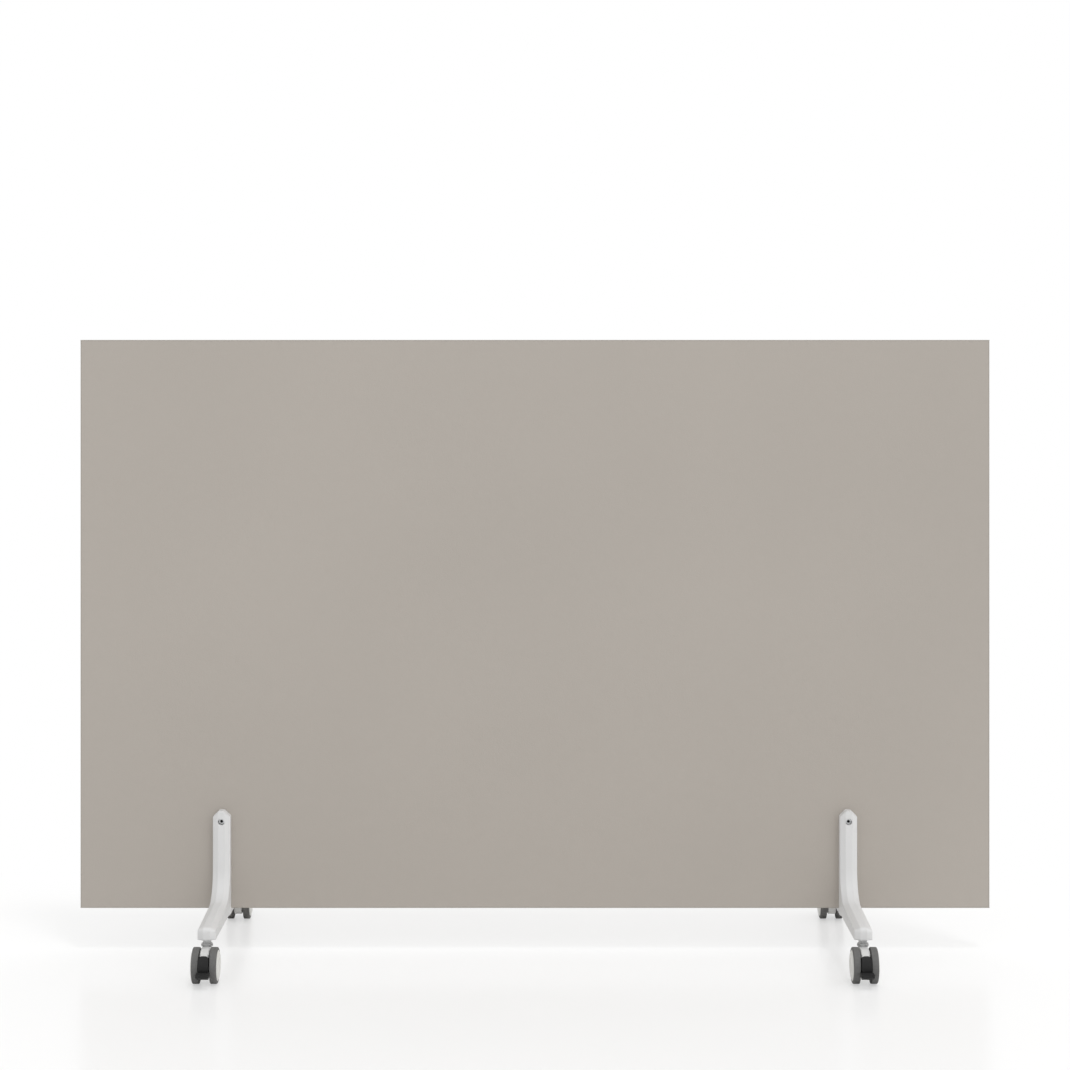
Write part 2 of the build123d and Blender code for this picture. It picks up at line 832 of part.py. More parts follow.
def write_casters():
    """Four casters, each trailing away from the board."""
    caster_pieces = {
        "stem": stem(),
        "yoke": yoke(),
        "axle": axle(),
        "lever_pin": lever_pin(),
        "brake_lever": brake_lever(),
        "toe_pad": toe_pad(),
    }
    wheel_pieces = {"tyre": tyre(), "hub": hub(), "hub_cover": hub_cover()}
    for side_name, side in (("left", -1), ("right", 1)):
        for end_name, end in (("front", -1), ("rear", 1)):
            corner = f"{end_name}_{side_name}"
            place = Pos(side * foot_offset, end * stem_offset, 0)
            turn = Rot(0, 0, 0) if end > 0 else Rot(0, 0, 180)
            for name, piece in caster_pieces.items():
                write(f"{corner}_{name}", place * turn * piece)
            axle_place = Pos(side * foot_offset, end * (stem_offset + caster_trail), axle_height)
            for wheel_name, wheel_side in (("outer", side), ("inner", -side)):
                facing = Rot(0, 0, 0) if wheel_side > 0 else Rot(0, 0, 180)
                for name, piece in wheel_pieces.items():
                    write(f"{corner}_{wheel_name}_{name}", axle_place * facing * piece)


os.makedirs("parts", exist_ok=True)
write_board()
write_feet()
write_casters()
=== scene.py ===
"""Room divider on braked casters: the finish of its pieces, the floor, the light and the camera."""

import math

import bpy
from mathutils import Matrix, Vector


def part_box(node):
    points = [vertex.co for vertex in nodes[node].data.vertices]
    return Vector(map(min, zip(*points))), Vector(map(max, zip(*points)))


bl_info = {
    "name": "Mobile room divider",
    "version": (1, 0, 0),
    "blender": (4, 5, 0),
    "location": "3D Viewport > Sidebar > Divider",
    "description": "Finishes a faced board on cast feet with braked twin-wheel casters",
    "category": "Object",
}

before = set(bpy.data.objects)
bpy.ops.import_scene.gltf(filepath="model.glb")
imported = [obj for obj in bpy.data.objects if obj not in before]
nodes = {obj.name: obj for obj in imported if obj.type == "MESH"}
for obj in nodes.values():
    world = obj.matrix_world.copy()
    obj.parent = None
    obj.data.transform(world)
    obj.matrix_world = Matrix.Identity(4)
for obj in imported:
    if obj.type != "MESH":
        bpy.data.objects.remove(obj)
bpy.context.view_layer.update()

CORNERS = ("front_left", "front_right", "rear_left", "rear_right")
WHEELS = ("outer", "inner")


def srgb(red, green, blue):
    """A colour measured on the 0 to 255 scale of a picture, as the linear values of a shader."""
    shares = (channel / 255 for channel in (red, green, blue))
    return tuple(s / 12.92 if s <= 0.04045 else ((s + 0.055) / 1.055) ** 2.4 for s in shares)


# Sizes and colours that a user would change


def colour_property(name, description, default):
    """A colour picker with its default in linear values."""
    return bpy.props.FloatVectorProperty(
        name=name, description=description, default=default, subtype="COLOR", size=3, min=0.0, max=1.0
    )


def length_property(name, description, default):
    """A length in metres."""
    return bpy.props.FloatProperty(
        name=name, description=description, default=default, min=0.0, subtype="DISTANCE", unit="LENGTH"
    )


def share_property(name, description, default, high=1.0):
    """A plain number from zero up."""
    return bpy.props.FloatProperty(
        name=name, description=description, default=default, min=0.0, max=high, subtype="FACTOR"
    )


class BoardFinish(bpy.types.PropertyGroup):
    """Finish of the board."""

    face_colour: colour_property("Face", "Colour of the laminate on both faces", srgb(176, 169, 161))
    band_colour: colour_property("Edge", "Colour of the edge bands", srgb(168, 162, 154))
    roughness: share_property("Roughness", "How matt the faces are", 0.62)
    pearl_size: length_property("Pearl size", "Size of the pearl in the laminate's pressed texture", 0.0011)
    pearl_depth: length_property("Pearl depth", "Depth of the laminate's pressed texture", 0.00025)
    tone_spread: share_property("Tone spread", "How much the faces' tone drifts over the board", 0.02)


class LegFinish(bpy.types.PropertyGroup):
    """Finish of the cast legs."""

    coat_colour: colour_property("Coat", "Colour of the powder coat", srgb(220, 220, 220))
    roughness: share_property("Roughness", "How matt the powder coat is", 0.5)
    peel_size: length_property("Peel size", "Size of the powder coat's orange peel", 0.0016)
    peel_depth: length_property("Peel depth", "Depth of the powder coat's orange peel", 0.0002)


class MetalFinish(bpy.types.PropertyGroup):
    """Finish of the screws, stems and axles."""

    zinc_colour: colour_property("Zinc", "Colour of the zinc-plated screws and stems", srgb(208, 209, 210))
    stem_colour: colour_property("Stem", "Colour of the dull stems and their collars", srgb(184, 184, 184))
    steel_colour: colour_property("Steel", "Colour of the bare axles and pins", srgb(190, 190, 192))
    roughness: share_property("Roughness", "How dull the plating is", 0.38)


class CasterFinish(bpy.types.PropertyGroup):
    """Finish of the casters."""

    tyre_colour: colour_property("Tyre", "Colour of the soft treads", srgb(99, 99, 98))
    cover_colour: colour_property("Cover", "Colour of the hub covers", srgb(219, 219, 215))
    hub_colour: colour_property("Hub", "Colour of the moulded hubs", srgb(196, 196, 194))
    yoke_colour: colour_property("Yoke", "Colour of the yokes", srgb(212, 212, 211))
    lever_colour: colour_property("Lever", "Colour of the brake levers", srgb(33, 33, 33))
    pad_colour: colour_property("Toe pad", "Colour of the toe pads", srgb(36, 36, 36))
    scuff_start: length_property("Scuff start", "Depth in the treads at which the scuffs begin", 0.0012)
    scuff_full: length_property("Full scuffs", "Depth in the treads above which the scuffs are full", 0.0002)


class StageSetting(bpy.types.PropertyGroup):
    """Floor, light and camera."""

    floor_colour: colour_property("Floor", "Colour of the floor", (0.965, 0.965, 0.96))
    floor_lift: share_property("Floor lift", "How far the floor's shadows are lifted to white", 0.48)
    floor_reach: length_property("Floor reach", "From the middle of the floor to its edges", 30.0)
    fade_start: length_property("Fade start", "Where the floor behind the board starts to fade", 0.32)
    fade_end: length_property("Fade end", "Where the floor behind the board is plain white", 0.62)
    camera_distance: length_property("Camera distance", "From the board's front face to the camera", 4.447)
    camera_height: length_property("Camera height", "Height of the camera above the floor", 1.055)
    lens: bpy.props.FloatProperty(name="Lens", description="Focal length in mm", default=85.0, min=1.0)
    frame_shift: bpy.props.FloatProperty(
        name="Shift", description="How far the frame is shifted up, as a share of its width", default=-0.1717
    )
    sky_level: share_property("Sky", "Level of the light from all round", 0.97, 4.0)
    sky_lean: share_property("Lean", "How much more light comes from the right than from the left", 0.36)
    sun_level: share_property("Sun", "Strength of the soft sun", 0.4, 10.0)
    sun_size: bpy.props.FloatProperty(
        name="Sun size", description="Angle that the sun spans", default=math.radians(9), subtype="ANGLE"
    )
    sun_height: bpy.props.FloatProperty(
        name="Sun height", description="Angle of the sun above the floor", default=math.radians(70),
        subtype="ANGLE",
    )
    sun_turn: bpy.props.FloatProperty(
        name="Sun turn", description="Angle of the sun to the right of the camera", default=math.radians(29),
        subtype="ANGLE",
    )


# Building shader trees


class Tree:
    """A node tree with short calls to add and join its nodes."""

    def __init__(self, tree):
        self.tree = tree

    def add(self, kind, **values):
        """Adds a node; a value names a setting of the node, or else one of its inputs."""
        node = self.tree.nodes.new(kind)
        for name, value in values.items():
            if hasattr(node, name):
                setattr(node, name, value)
            else:
                self.set(node, name.replace("_", " "), value)
        return node

    def set(self, node, name, value):
        """Sets an input by its name or number, from a number, a colour or another node's output."""
        socket = node.inputs[name]
        if isinstance(value, bpy.types.NodeSocket):
            self.tree.links.new(value, socket)
        elif hasattr(socket.default_value, "__len__") and len(value) < len(socket.default_value):
            socket.default_value = (*value, 1.0)
        else:
            socket.default_value = value

    def math(self, operation, *values):
        """The result of a sum on numbers and outputs."""
        node = self.tree.nodes.new("ShaderNodeMath")
        node.operation = operation
        for index, value in enumerate(values):
            self.set(node, index, value)
        return node.outputs[0]

    def ramp(self, value, low, high, to_low=0.0, to_high=1.0, smooth=False):
        """A value carried from one range to another, and kept within it."""
        node = self.add("ShaderNodeMapRange", interpolation_type="SMOOTHSTEP" if smooth else "LINEAR")
        for name, setting in (
            ("Value", value), ("From Min", low), ("From Max", high), ("To Min", to_low), ("To Max", to_high)
        ):
            self.set(node, name, setting)
        return node.outputs["Result"]

    def noise(self, vector, scale, detail=2.0, roughness=0.5):
        """Noise from 0 to 1."""
        node = self.add("ShaderNodeTexNoise", Detail=detail, Roughness=roughness)
        self.set(node, "Vector", vector)
        self.set(node, "Scale", scale)
        return node.outputs["Fac"]

    def group(self, name, **values):
        """A shared effect with its inputs set."""
        node = self.add("ShaderNodeGroup", node_tree=shared_group(name))
        for label, value in values.items():
            self.set(node, label.replace("_", " "), value)
        return node

    def place(self):
        """Object coordinates."""
        return self.add("ShaderNodeTexCoord").outputs["Object"]


def new_group(name, inputs, outputs):
    """A shader node group with named float inputs and outputs, and its two end nodes."""
    group = bpy.data.node_groups.new(name, "ShaderNodeTree")
    for label, default in inputs:
        socket = group.interface.new_socket(label, in_out="INPUT", socket_type="NodeSocketFloat")
        socket.default_value = default
    for label, kind in outputs:
        group.interface.new_socket(label, in_out="OUTPUT", socket_type=kind)
    tree = Tree(group)
    return group, tree, tree.add("NodeGroupInput").outputs, tree.add("NodeGroupOutput")


def make_grain_group():
    """Pressed or sprayed grain: a fine relief in metres, and a tone about 1 that follows it."""
    group, tree, given, out = new_group(
        "Fine grain",
        (("Size", 0.001), ("Depth", 0.0001), ("Tone spread", 0.02)),
        (("Height", "NodeSocketFloat"), ("Tone", "NodeSocketFloat")),
    )
    scale = tree.math("DIVIDE", 1.0, given["Size"])
    fine = tree.noise(tree.place(), scale, detail=2.0, roughness=0.55)
    tree.set(out, "Height", tree.math("MULTIPLY", fine, given["Depth"]))
    centred = tree.math("SUBTRACT", fine, 0.5)
    tree.set(out, "Tone", tree.math("MULTIPLY_ADD", centred, given["Tone spread"], 1.0))
    return group


def make_drift_group():
    """Slow drift over a piece, from a low value to a high one."""
    group, tree, given, out = new_group(
        "Slow drift", (("Size", 0.1), ("Low", 0.98), ("High", 1.02)), (("Value", "NodeSocketFloat"),)
    )
    noise = tree.noise(tree.place(), tree.math("DIVIDE", 1.0, given["Size"]), detail=1.5)
    drift = tree.ramp(noise, low=0.3, high=0.7, to_low=given["Low"], to_high=given["High"])
    tree.set(out, "Value", drift)
    return group


def make_lines_group():
    """Fine marks of a cutter or a mould, as a relief in metres that varies along one value."""
    group, tree, given, out = new_group(
        "Tool marks",
        (("Along", 0.0), ("Pitch", 0.0005), ("Depth", 0.00001)),
        (("Height", "NodeSocketFloat"),),
    )
    steps = tree.math("DIVIDE", given["Along"], given["Pitch"])
    line = tree.add("ShaderNodeTexNoise", noise_dimensions="1D", Detail=3.0, Roughness=0.7, Scale=1.0)
    tree.set(line, "W", steps)
    tree.set(out, "Height", tree.math("MULTIPLY", line.outputs["Fac"], given["Depth"]))
    return group


def make_edge_group():
    """A mask that is 1 along outer edges, broken up by noise, and the normal of softened edges."""
    group, tree, given, out = new_group(
        "Edge wear",
        (("Width", 0.0005), ("Size", 0.003)),
        (("Mask", "NodeSocketFloat"), ("Normal", "NodeSocketVector")),
    )
    soft = tree.add("ShaderNodeBevel", samples=4)
    tree.set(soft, "Radius", given["Width"])
    plain = tree.add("ShaderNodeNewGeometry")
    likeness = tree.add("ShaderNodeVectorMath", operation="DOT_PRODUCT")
    tree.set(likeness, 0, soft.outputs["Normal"])
    tree.set(likeness, 1, plain.outputs["Normal"])
    edge = tree.ramp(likeness.outputs["Value"], low=0.99, high=0.8)
    patches = tree.noise(tree.place(), tree.math("DIVIDE", 1.0, given["Size"]), detail=4.0, roughness=0.65)
    tree.set(out, "Mask", tree.math("MULTIPLY", edge, tree.ramp(patches, low=0.42, high=0.62)))
    tree.set(out, "Normal", soft.outputs["Normal"])
    return group


def make_painted_shade_group():
    """A mask from ambient occlusion that is 1 deep in hollows and joints where light doesn't reach, for
    painted shade.
    """
    group, tree, given, out = new_group(
        "Painted recess shade", (("Reach", 0.004), ("Open", 0.75), ("Shut", 0.25)), (("Mask", "NodeSocketFloat"),)
    )
    openness = tree.add("ShaderNodeAmbientOcclusion", samples=6, only_local=True)
    tree.set(openness, "Distance", given["Reach"])
    tree.set(out, "Mask", tree.ramp(openness.outputs["AO"], given["Open"], given["Shut"]))
    return group


def make_chip_group():
    """Pressed wood chips: a tone for each chip, and their relief in metres."""
    group, tree, given, out = new_group(
        "Wood chips",
        (("Size", 0.003), ("Depth", 0.0002)),
        (("Tone", "NodeSocketFloat"), ("Height", "NodeSocketFloat")),
    )
    flat = tree.add("ShaderNodeMapping")
    tree.set(flat, "Vector", tree.place())
    tree.set(flat, "Scale", (1.0, 3.0, 0.6))
    chips = tree.add("ShaderNodeTexVoronoi")
    tree.set(chips, "Vector", flat.outputs["Vector"])
    tree.set(chips, "Scale", tree.math("DIVIDE", 1.0, given["Size"]))
    shade = tree.add("ShaderNodeSeparateColor")
    tree.set(shade, "Color", chips.outputs["Color"])
    tone = tree.ramp(shade.outputs["Red"], low=0.0, high=1.0, to_low=0.6, to_high=1.3)
    tree.set(out, "Tone", tone)
    tree.set(out, "Height", tree.math("MULTIPLY", chips.outputs["Distance"], given["Depth"]))
    return group


def make_axle_group():
    """Distance from the axle's axis, the same for the casters in front and behind."""
    group, tree, given, out = new_group(
        "Wheel place", (("Axle place", 0.24), ("Axle height", 0.03)), (("Radius", "NodeSocketFloat"),)
    )
    parts = tree.add("ShaderNodeSeparateXYZ")
    tree.set(parts, "Vector", tree.place())
    along = tree.math("SUBTRACT", tree.math("ABSOLUTE", parts.outputs["Y"]), given["Axle place"])
    up = tree.math("SUBTRACT", parts.outputs["Z"], given["Axle height"])
    square = tree.math("ADD", tree.math("MULTIPLY", along, along), tree.math("MULTIPLY", up, up))
    tree.set(out, "Radius", tree.math("SQRT", square))
    return group


GROUP_MAKERS = {
    "Fine grain": make_grain_group,
    "Slow drift": make_drift_group,
    "Tool marks": make_lines_group,
    "Edge wear": make_edge_group,
    "Painted recess shade": make_painted_shade_group,
    "Wood chips": make_chip_group,
    "Wheel place": make_axle_group,
}
GROUPS = {}


def shared_group(name):
    """A shared effect, built the first time that it is asked for."""
    if name not in GROUPS:
        GROUPS[name] = GROUP_MAKERS[name]()
    return GROUPS[name]


class Finish:
    """A material built up from shared effects, each a small step on its colour, gloss or relief."""

    def __init__(self, name, colour, roughness):
        self.material = bpy.data.materials.new(name)
        self.material.use_nodes = True
        self.material.node_tree.nodes.clear()
        self.tree = Tree(self.material.node_tree)
        self.shader = self.tree.add("ShaderNodeBsdfPrincipled")
        self.output = self.tree.add("ShaderNodeOutputMaterial")
        self.tree.set(self.output, "Surface", self.shader.outputs["BSDF"])
        self.colour = colour
        self.roughness = roughness
        self.normal = None

    def fixed(self, **values):
        """Sets plain values on the shader itself."""
        for name, value in values.items():
            self.tree.set(self.shader, name.replace("_", " "), value)
        return self

    def tint(self, tone):
        """Makes the colour lighter and darker by a tone about 1."""
        product = self.tree.add("ShaderNodeVectorMath", operation="SCALE")
        self.tree.set(product, 0, self.colour)
        self.tree.set(product, "Scale", tone)
        self.colour = product.outputs["Vector"]
        return self

    def blend(self, mask, colour, share=1.0):
        """Carries the colour towards another one where a mask says so."""
        mix = self.tree.add("ShaderNodeMix", data_type="RGBA")
        self.tree.set(mix, "Factor", self.tree.math("MULTIPLY", mask, share))
        for name, value in (("A", self.colour), ("B", colour)):
            socket = next(s for s in mix.inputs if s.name == name and s.type == "RGBA")
            if isinstance(value, bpy.types.NodeSocket):
                self.tree.tree.links.new(value, socket)
            else:
                socket.default_value = (*value, 1.0)
        self.colour = next(s for s in mix.outputs if s.type == "RGBA")
        return self

    def rougher(self, mask, amount):
        """Adds to the roughness where a mask says so."""
        self.roughness = self.tree.math("MULTIPLY_ADD", mask, amount, self.roughness)
        return self

    def relief(self, height):
        """Adds a relief in metres."""
        bump = self.tree.add("ShaderNodeBump", Distance=1.0)
        self.tree.set(bump, "Height", height)
        if self.normal is not None:
            self.tree.set(bump, "Normal", self.normal)
        self.normal = bump.outputs["Normal"]
        return self

    def grain(self, size, depth, tone_spread):
        """Fine grain, in relief and in tone."""
        node = self.tree.group("Fine grain", Size=size, Depth=depth, Tone_spread=tone_spread)
        self.tint(node.outputs["Tone"])
        return self.relief(node.outputs["Height"])

    def drift(self, size, spread, gloss_spread=0.07):
        """Slow drift in tone and in gloss."""
        tone = self.tree.group("Slow drift", Size=size, Low=1.0 - spread, High=1.0 + spread)
        self.tint(tone.outputs["Value"])
        gloss = self.tree.group("Slow drift", Size=size / 3, Low=1.0 - gloss_spread, High=1.0 + gloss_spread)
        self.roughness = self.tree.math("MULTIPLY", gloss.outputs["Value"], self.roughness)
        return self

    def marks(self, along, pitch, depth):
        """Fine tool or mould marks across a value."""
        node = self.tree.group("Tool marks", Pitch=pitch, Depth=depth)
        self.tree.set(node, "Along", along)
        return self.relief(node.outputs["Height"])

    def edges(self, width, size, colour, share, rougher=0.0):
        """Softened edges, worn in patches."""
        node = self.tree.group("Edge wear", Width=width, Size=size)
        self.blend(node.outputs["Mask"], colour, share)
        self.rougher(node.outputs["Mask"], amount=rougher)
        self.normal = node.outputs["Normal"]
        return self

    def paint_recess_shade(self, reach, colour, share, opened=0.75, shut=0.25):
        """Painted shade: hollows and joints darkened in the colour by the ambient occlusion mask."""
        node = self.tree.group("Painted recess shade", Reach=reach, Open=opened, Shut=shut)
        return self.blend(node.outputs["Mask"], colour, share)

    def done(self):
        """Joins the colour, the roughness and the relief to the shader, and returns the material."""
        self.tree.set(self.shader, "Base Color", self.colour)
        self.tree.set(self.shader, "Roughness", self.roughness)
        if self.normal is not None:
            self.tree.set(self.shader, "Normal", self.normal)
        return self.material


def wheel_radius(tree):
    """Distance from the axle in a wheel's own coordinates."""
    low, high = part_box("rear_left_outer_tyre")
    middle = (low + high) / 2
    return tree.group("Wheel place", Axle_place=middle.y, Axle_height=middle.z).outputs["Radius"]


def finish_nodes(names, finish):
    """Gives some CAD nodes the material of a finish."""
    material = finish.done()
    for name in names:
        materials = nodes[name].data.materials
        materials.clear()
        materials.append(material)


# Operators, one for each group of like pieces


class DIVIDER_OT_board(bpy.types.Operator):
    """Face the board and band its edges"""

    bl_idname = "divider.board"
    bl_label = "Board"

    def execute(self, context):
        look = context.scene.divider_board
        face = Finish("laminate", look.face_colour, look.roughness)
        face.edges(width=0.0004, size=0.01, colour=srgb(150, 145, 138), share=0.3)
        face.grain(look.pearl_size, look.pearl_depth, tone_spread=0.08)
        face.grain(size=0.006, depth=0.00004, tone_spread=0.012)
        face.drift(size=0.5, spread=look.tone_spread)
        band = Finish("edge_band", look.band_colour, look.roughness)
        band.edges(width=0.0005, size=0.01, colour=srgb(186, 182, 175), share=0.3)
        band.grain(look.pearl_size, look.pearl_depth, tone_spread=0.05)
        band.drift(size=0.3, spread=look.tone_spread)
        core = Finish("particle_board", srgb(190, 160, 118), roughness=0.9)
        chips = core.tree.group("Wood chips", Size=0.0035, Depth=0.0003)
        core.tint(chips.outputs["Tone"])
        core.relief(chips.outputs["Height"])
        finish_nodes(("front_laminate", "rear_laminate"), face)
        finish_nodes(("long_edge_bands", "short_edge_bands"), band)
        finish_nodes(("panel_core",), core)
        return {"FINISHED"}


class DIVIDER_OT_legs(bpy.types.Operator):
    """Powder-coat the cast legs"""

    bl_idname = "divider.legs"
    bl_label = "Legs"

    def execute(self, context):
        look = context.scene.divider_leg
        coat = Finish("powder_coat", look.coat_colour, look.roughness)
        coat.fixed(Specular_IOR_Level=0.3)
        coat.edges(width=0.0022, size=0.006, colour=srgb(200, 200, 198), share=0.15)
        coat.grain(look.peel_size, look.peel_depth, tone_spread=0.015)
        coat.grain(size=0.0004, depth=0.00003, tone_spread=0.03)
        coat.drift(size=0.06, spread=0.01)
        # Painted shade: the coat is darkened towards grey where the leg's own bends and hollows close in.
        coat.paint_recess_shade(reach=0.012, colour=srgb(120, 118, 114), share=0.3, opened=0.6, shut=0.1)
        finish_nodes([f"{corner}_leg" for corner in CORNERS], coat)
        return {"FINISHED"}


class DIVIDER_OT_fasteners(bpy.types.Operator):
    """Plate the screws, the nuts and the stems"""

    bl_idname = "divider.fasteners"
    bl_label = "Screws and stems"

    def execute(self, context):
        look = context.scene.divider_metal
        screws = Finish("screw_plate", look.zinc_colour, look.roughness)
        screws.edges(width=0.0003, size=0.002, colour=srgb(214, 214, 216), share=0.5)
        screws.grain(size=0.0006, depth=0.00001, tone_spread=0.12)
        screws.drift(size=0.004, spread=0.05, gloss_spread=0.2)
        # Painted shade: the sockets and hollows of the screws are painted near black.
        screws.paint_recess_shade(reach=0.006, colour=srgb(10, 10, 11), share=1.0, opened=0.72, shut=0.5)
        screws.fixed(Metallic=0.9)
        stems = Finish("stem_plate", look.stem_colour, look.roughness)
        stems.edges(width=0.0004, size=0.003, colour=srgb(205, 206, 208), share=0.4)
        parts = stems.tree.add("ShaderNodeSeparateXYZ")
        stems.tree.set(parts, "Vector", stems.tree.place())
        stems.marks(along=parts.outputs["Z"], pitch=0.0003, depth=0.000008)
        stems.grain(size=0.0008, depth=0.00001, tone_spread=0.12)
        stems.drift(size=0.006, spread=0.06, gloss_spread=0.2)
        # Painted shade: the hollows of the stems and their collars are painted dark grey.
        stems.paint_recess_shade(reach=0.003, colour=srgb(60, 60, 60), share=0.7)
        stems.fixed(Metallic=0.6)
        finish_nodes(("clamp_screws", "sleeve_nuts", "lap_screws"), screws)
        finish_nodes([f"{corner}_stem" for corner in CORNERS], stems)
        return {"FINISHED"}


class DIVIDER_OT_yokes(bpy.types.Operator):
    """Finish the yokes with their axles and lever pins"""

    bl_idname = "divider.yokes"
    bl_label = "Yokes"

    def execute(self, context):
        look = context.scene.divider_caster
        metal = context.scene.divider_metal
        plastic = Finish("yoke_plastic", look.yoke_colour, roughness=0.45)
        plastic.edges(width=0.0004, size=0.004, colour=srgb(226, 226, 224), share=0.3)
        plastic.grain(size=0.0005, depth=0.00003, tone_spread=0.02)
        plastic.drift(size=0.02, spread=0.012)
        # Painted shade: the yokes' hollows and joints are darkened.
        plastic.paint_recess_shade(reach=0.006, colour=srgb(110, 108, 104), share=0.5, opened=0.6, shut=0.1)
        steel = Finish("bright_steel", metal.steel_colour, roughness=0.28)
        steel.edges(width=0.0003, size=0.002, colour=srgb(225, 225, 226), share=0.5)
        steel.marks(along=wheel_radius(steel.tree), pitch=0.0002, depth=0.000004)
        steel.grain(size=0.0005, depth=0.000004, tone_spread=0.06)
        steel.drift(size=0.004, spread=0.04, gloss_spread=0.2)
        steel.fixed(Metallic=1.0)
        finish_nodes([f"{corner}_yoke" for corner in CORNERS], plastic)
        finish_nodes([f"{corner}_{piece}" for corner in CORNERS for piece in ("axle", "lever_pin")], steel)
        return {"FINISHED"}


class DIVIDER_OT_wheels(bpy.types.Operator):
    """Finish the tyres, hubs and hub covers"""

    bl_idname = "divider.wheels"
    bl_label = "Wheels"

    def execute(self, context):
        look = context.scene.divider_caster
        low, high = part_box("rear_left_outer_tyre")
        rim = (high.z - low.z) / 2
        tread = Finish("tyre_rubber", look.tyre_colour, roughness=0.68)
        tread.edges(width=0.0004, size=0.005, colour=srgb(126, 126, 124), share=0.3)
        radius = wheel_radius(tread.tree)
        tread.marks(along=radius, pitch=0.0006, depth=0.00002)
        tread.grain(size=0.0004, depth=0.00005, tone_spread=0.1)
        tread.drift(size=0.012, spread=0.03)
        scuffed = tread.tree.ramp(radius, rim - look.scuff_start, rim - look.scuff_full)
        speckle = tread.tree.noise(tread.tree.place(), scale=220.0, detail=4.0, roughness=0.65)
        scuffs = tread.tree.math("MULTIPLY", scuffed, tread.tree.ramp(speckle, low=0.45, high=0.7))
        tread.blend(scuffs, srgb(128, 127, 124), share=0.3)
        tread.rougher(scuffs, amount=0.12)
        cover = Finish("cover_plastic", look.cover_colour, roughness=0.38)
        cover.edges(width=0.0004, size=0.004, colour=srgb(228, 228, 225), share=0.3)
        cover.marks(along=wheel_radius(cover.tree), pitch=0.0008, depth=0.000006)
        cover.grain(size=0.0005, depth=0.00002, tone_spread=0.02)
        cover.drift(size=0.02, spread=0.012)
        hub = Finish("hub_nylon", look.hub_colour, roughness=0.5)
        hub.edges(width=0.0003, size=0.003, colour=srgb(214, 214, 211), share=0.3)
        hub.grain(size=0.0006, depth=0.00001, tone_spread=0.03)
        hub.drift(size=0.015, spread=0.02)
        # Painted shade: the hubs' hollows are darkened.
        hub.paint_recess_shade(reach=0.006, colour=srgb(96, 95, 92), share=0.6, opened=0.6, shut=0.1)
        wheels = [f"{corner}_{wheel}" for corner in CORNERS for wheel in WHEELS]
        for piece, finish in (("tyre", tread), ("hub_cover", cover), ("hub", hub)):
            finish_nodes([f"{wheel}_{piece}" for wheel in wheels], finish)
        return {"FINISHED"}


class DIVIDER_OT_brake_levers(bpy.types.Operator):
    """Finish the brake levers and their toe pads"""

    bl_idname = "divider.brake_levers"
    bl_label = "Brake levers"

    def execute(self, context):
        look = context.scene.divider_caster
        black = Finish("lever_plastic", look.lever_colour, roughness=0.5)
        black.edges(width=0.0005, size=0.003, colour=srgb(74, 74, 74), share=0.4, rougher=0.1)
        black.grain(size=0.0004, depth=0.00004, tone_spread=0.12)
        black.drift(size=0.012, spread=0.04)
        black.fixed(Specular_IOR_Level=0.25)
        grip = Finish("toe_grip", look.pad_colour, roughness=0.72)
        grip.edges(width=0.0004, size=0.003, colour=srgb(72, 72, 71), share=0.5, rougher=0.1)
        grip.grain(size=0.0003, depth=0.00002, tone_spread=0.15)
        grip.drift(size=0.008, spread=0.06)
        grip.fixed(Specular_IOR_Level=0.3)
        finish_nodes([f"{corner}_brake_lever" for corner in CORNERS], black)
        finish_nodes([f"{corner}_toe_pad" for corner in CORNERS], grip)
        return {"FINISHED"}


class DIVIDER_OT_stage(bpy.types.Operator):
    """Lay the floor, and set the light and the camera"""

    bl_idname = "divider.stage"
    bl_label = "Floor, light and camera"

    def execute(self, context):
        setting = context.scene.divider_stage
        lay_floor(setting)
        light_sky(setting)
        hang_sun(setting)
        place_camera(setting)
        context.scene.view_settings.view_transform = "Standard"
        return {"FINISHED"}


def lay_floor(setting):
    """A pale, slightly glossy floor that fades to white behind the board, with its shadows lifted towards
    white by a white glow that only the camera sees.
    """
    half = setting.floor_reach
    mesh = bpy.data.meshes.new("floor")
    corners = [(-half, -half, 0), (half, -half, 0), (half, half, 0), (-half, half, 0)]
    mesh.from_pydata(corners, [], [(0, 1, 2, 3)])
    floor = bpy.data.objects.new("floor", mesh)
    bpy.context.scene.collection.objects.link(floor)
    finish = Finish("floor", setting.floor_colour, roughness=0.2)
    finish.fixed(IOR=1.3)
    finish.drift(size=0.4, spread=0.004)
    tree = finish.tree
    split = tree.add("ShaderNodeSeparateXYZ")
    tree.set(split, "Vector", tree.place())
    fade = tree.ramp(split.outputs["Y"], setting.fade_start, setting.fade_end, smooth=True)
    # A white glow that only the camera sees lifts the floor and its shadows towards white, all the way
    # behind the board.
    ray = tree.add("ShaderNodeLightPath")
    white = tree.add("ShaderNodeEmission", Color=(1.0, 1.0, 1.0), Strength=1.0)
    mix = tree.add("ShaderNodeMixShader")
    lifted = tree.math("MULTIPLY_ADD", fade, 1.0 - setting.floor_lift, setting.floor_lift)
    tree.set(mix, 0, tree.math("MULTIPLY", lifted, ray.outputs["Is Camera Ray"]))
    tree.set(mix, 1, finish.shader.outputs["BSDF"])
    tree.set(mix, 2, white.outputs["Emission"])
    tree.set(finish.output, "Surface", mix.outputs["Shader"])
    mesh.materials.append(finish.done())


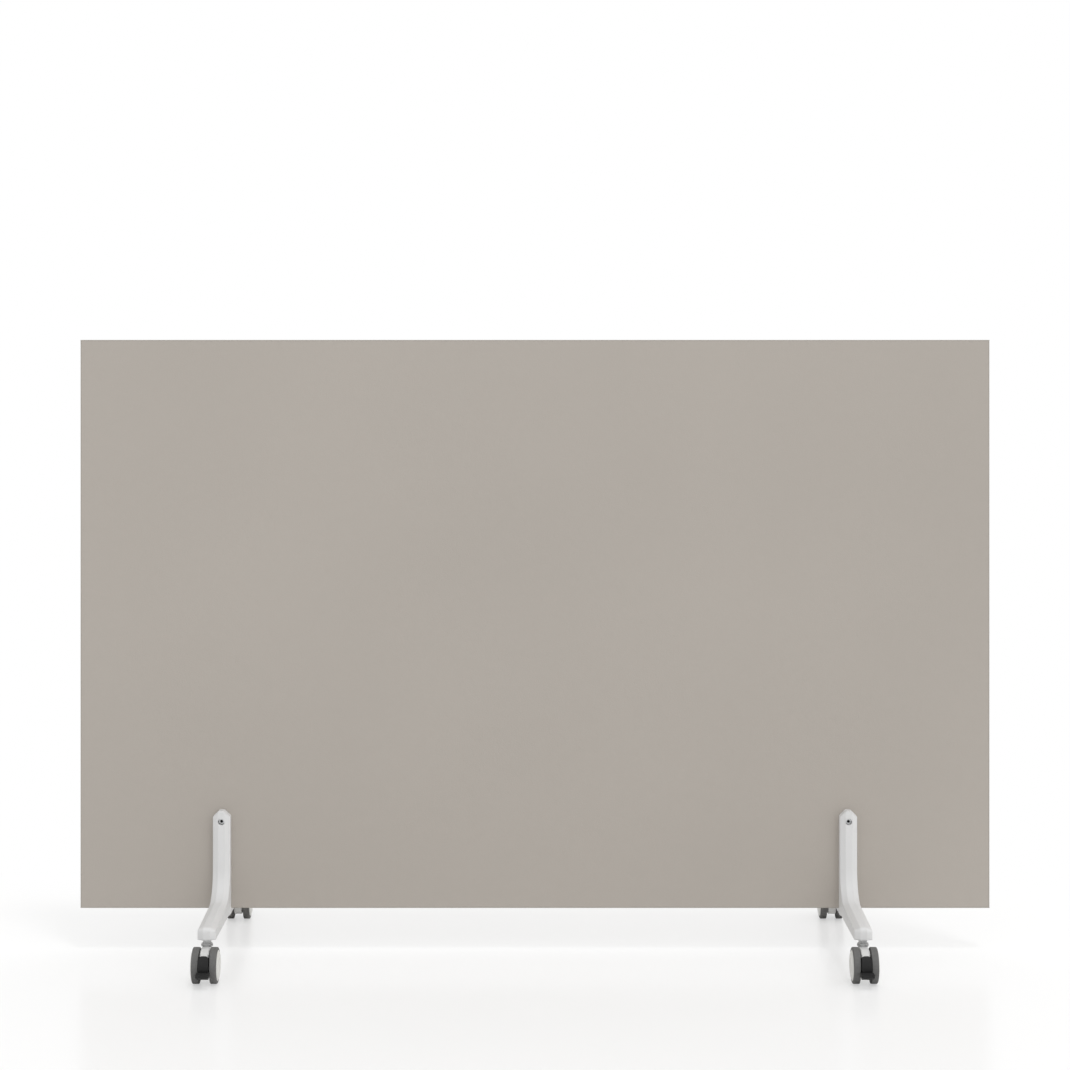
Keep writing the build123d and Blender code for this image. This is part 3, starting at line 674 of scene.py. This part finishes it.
def light_sky(setting):
    """Even light from all round, and a white background for the camera and for reflections."""
    world = bpy.data.worlds.new("soft_box")
    world.use_nodes = True
    world.node_tree.nodes.clear()
    tree = Tree(world.node_tree)
    ray = tree.add("ShaderNodeLightPath")
    seen = tree.math("MAXIMUM", ray.outputs["Is Camera Ray"], ray.outputs["Is Glossy Ray"])
    seen = tree.math("MAXIMUM", seen, ray.outputs["Is Transmission Ray"])
    aim = tree.add("ShaderNodeSeparateXYZ")
    tree.set(aim, "Vector", tree.add("ShaderNodeTexCoord").outputs["Generated"])
    lean = tree.math("MULTIPLY_ADD", aim.outputs["X"], setting.sky_lean, 1.0)
    light = tree.add("ShaderNodeBackground", Color=(1.0, 1.0, 1.0))
    tree.set(light, "Strength", tree.math("MULTIPLY", lean, setting.sky_level))
    white = tree.add("ShaderNodeBackground", Color=(1.0, 1.0, 1.0), Strength=1.0)
    mix = tree.add("ShaderNodeMixShader")
    tree.set(mix, 0, seen)
    tree.set(mix, 1, light.outputs["Background"])
    tree.set(mix, 2, white.outputs["Background"])
    output = tree.add("ShaderNodeOutputWorld")
    tree.set(output, "Surface", mix.outputs["Shader"])
    bpy.context.scene.world = world


def hang_sun(setting):
    """A wide soft sun, high up and to the right of the camera."""
    light = bpy.data.lights.new("sun", "SUN")
    light.energy = setting.sun_level
    light.angle = setting.sun_size
    sun = bpy.data.objects.new("sun", light)
    bpy.context.scene.collection.objects.link(sun)
    sun.rotation_euler = (math.pi / 2 - setting.sun_height, 0.0, setting.sun_turn)


def place_camera(setting):
    """A level camera square to the board, with the frame shifted down to the board and the floor."""
    data = bpy.data.cameras.new("camera")
    data.lens = setting.lens
    data.sensor_width = 36.0
    data.shift_y = setting.frame_shift
    camera = bpy.data.objects.new("camera", data)
    bpy.context.scene.collection.objects.link(camera)
    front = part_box("front_laminate")[0].y
    camera.location = (0.0, front - setting.camera_distance, setting.camera_height)
    camera.rotation_euler = (math.pi / 2, 0.0, 0.0)
    bpy.context.scene.camera = camera


PIECE_OPERATORS = (
    DIVIDER_OT_board,
    DIVIDER_OT_legs,
    DIVIDER_OT_fasteners,
    DIVIDER_OT_yokes,
    DIVIDER_OT_wheels,
    DIVIDER_OT_brake_levers,
    DIVIDER_OT_stage,
)


class DIVIDER_PT_sidebar(bpy.types.Panel):
    """Lists the divider's pieces and its stage."""

    bl_idname = "DIVIDER_PT_sidebar"
    bl_label = "Room divider"
    bl_space_type = "VIEW_3D"
    bl_region_type = "UI"
    bl_category = "Divider"

    def draw(self, context):
        for operator in PIECE_OPERATORS:
            self.layout.operator(operator.bl_idname)


SETTINGS = {
    "divider_board": BoardFinish,
    "divider_leg": LegFinish,
    "divider_metal": MetalFinish,
    "divider_caster": CasterFinish,
    "divider_stage": StageSetting,
}


def register():
    """Registers the settings, the operators and the panel."""
    for name, kind in SETTINGS.items():
        bpy.utils.register_class(kind)
        setattr(bpy.types.Scene, name, bpy.props.PointerProperty(type=kind))
    for kind in (*PIECE_OPERATORS, DIVIDER_PT_sidebar):
        bpy.utils.register_class(kind)


def unregister():
    """Takes the classes and the settings away again."""
    for kind in (DIVIDER_PT_sidebar, *reversed(PIECE_OPERATORS)):
        bpy.utils.unregister_class(kind)
    for name, kind in SETTINGS.items():
        delattr(bpy.types.Scene, name)
        bpy.utils.unregister_class(kind)


def main():
    """Makes every piece and the stage."""
    register()
    for operator in PIECE_OPERATORS:
        module, name = operator.bl_idname.split(".")
        getattr(getattr(bpy.ops, module), name)()


if __name__ == "__main__":
    main()
